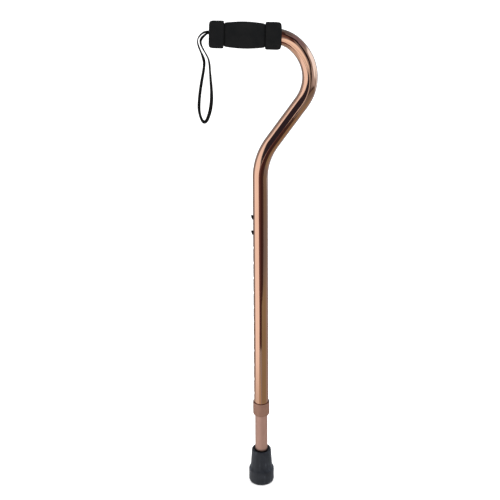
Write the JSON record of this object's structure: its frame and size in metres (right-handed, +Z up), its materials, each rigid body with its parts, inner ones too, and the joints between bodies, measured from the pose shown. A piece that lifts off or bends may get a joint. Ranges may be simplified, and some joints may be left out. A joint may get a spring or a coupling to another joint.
{
  "type": "single point cane",
  "caption": "Height-adjustable walking cane with a bent offset handle, foam grip, wrist strap, snap-button height setting, locking collar and a single rubber tip.",
  "frame": {"origin": "middle of the rubber tip's underside, on the shaft's axis, where the tip meets the floor", "axes": "+Z up the shaft; -X towards the grip's front end and the row of height holes; +X towards the outside of the bend; Y across the cane"},
  "size_m": [0.1695, 0.039, 0.7735],
  "materials": {
    "bronze_anodised": "polished, bronze anodised",
    "dull_bronze": "satin, mauve-bronze anodised",
    "black_foam": "closed-cell foam with a fine skin",
    "black_plastic": "moulded, fine texture",
    "black_webbing": "narrow flat woven tape",
    "grey_rubber": "moulded, slightly bloomed",
    "white_nylon": "plain moulded nylon",
    "spring_steel": "tempered strip",
    "dark_steel": "blackened, worn at the crown",
    "zinc_steel": "zinc plated"
  },
  "bodies": {
    "lower_leg": {"lower_tube": "dull_bronze", "slide_bush": "white_nylon", "rubber_tip": "grey_rubber", "tip_washer": "zinc_steel", "button_spring": "spring_steel"},
    "upper_handle": {"upper_tube": "bronze_anodised", "foam_grip": "black_foam", "handle_plug": "black_plastic", "strap_clasp": "zinc_steel", "wrist_strap": "black_webbing", "clamp_ring": "white_nylon"},
    "collar": {"locking_collar": "dull_bronze"},
    "snap_buttons": {"upper_button": "dark_steel", "lower_button": "dark_steel"}
  },
  "joints": [
    {"name": "height_adjust", "type": "slide", "parent": "lower_leg", "child": "upper_handle", "axis": [0, 0, 1], "range_m": [0, 0.2794], "deforming": ["button_spring", "upper_button", "lower_button"]},
    {"name": "collar_turn", "type": "hinge", "parent": "upper_handle", "child": "collar", "pos_m": [0, 0, 0.1352], "axis": [0, 0, 1], "range_deg": [0, 180]},
    {"name": "button_press", "type": "hinge", "parent": "lower_leg", "child": "snap_buttons", "pos_m": [-0.0069, 0, 0.37], "axis": [0, 1, 0], "range_deg": [0, 3.5], "stiffness_Nm_per_rad": 12, "springref_deg": -1.72}
  ]
}
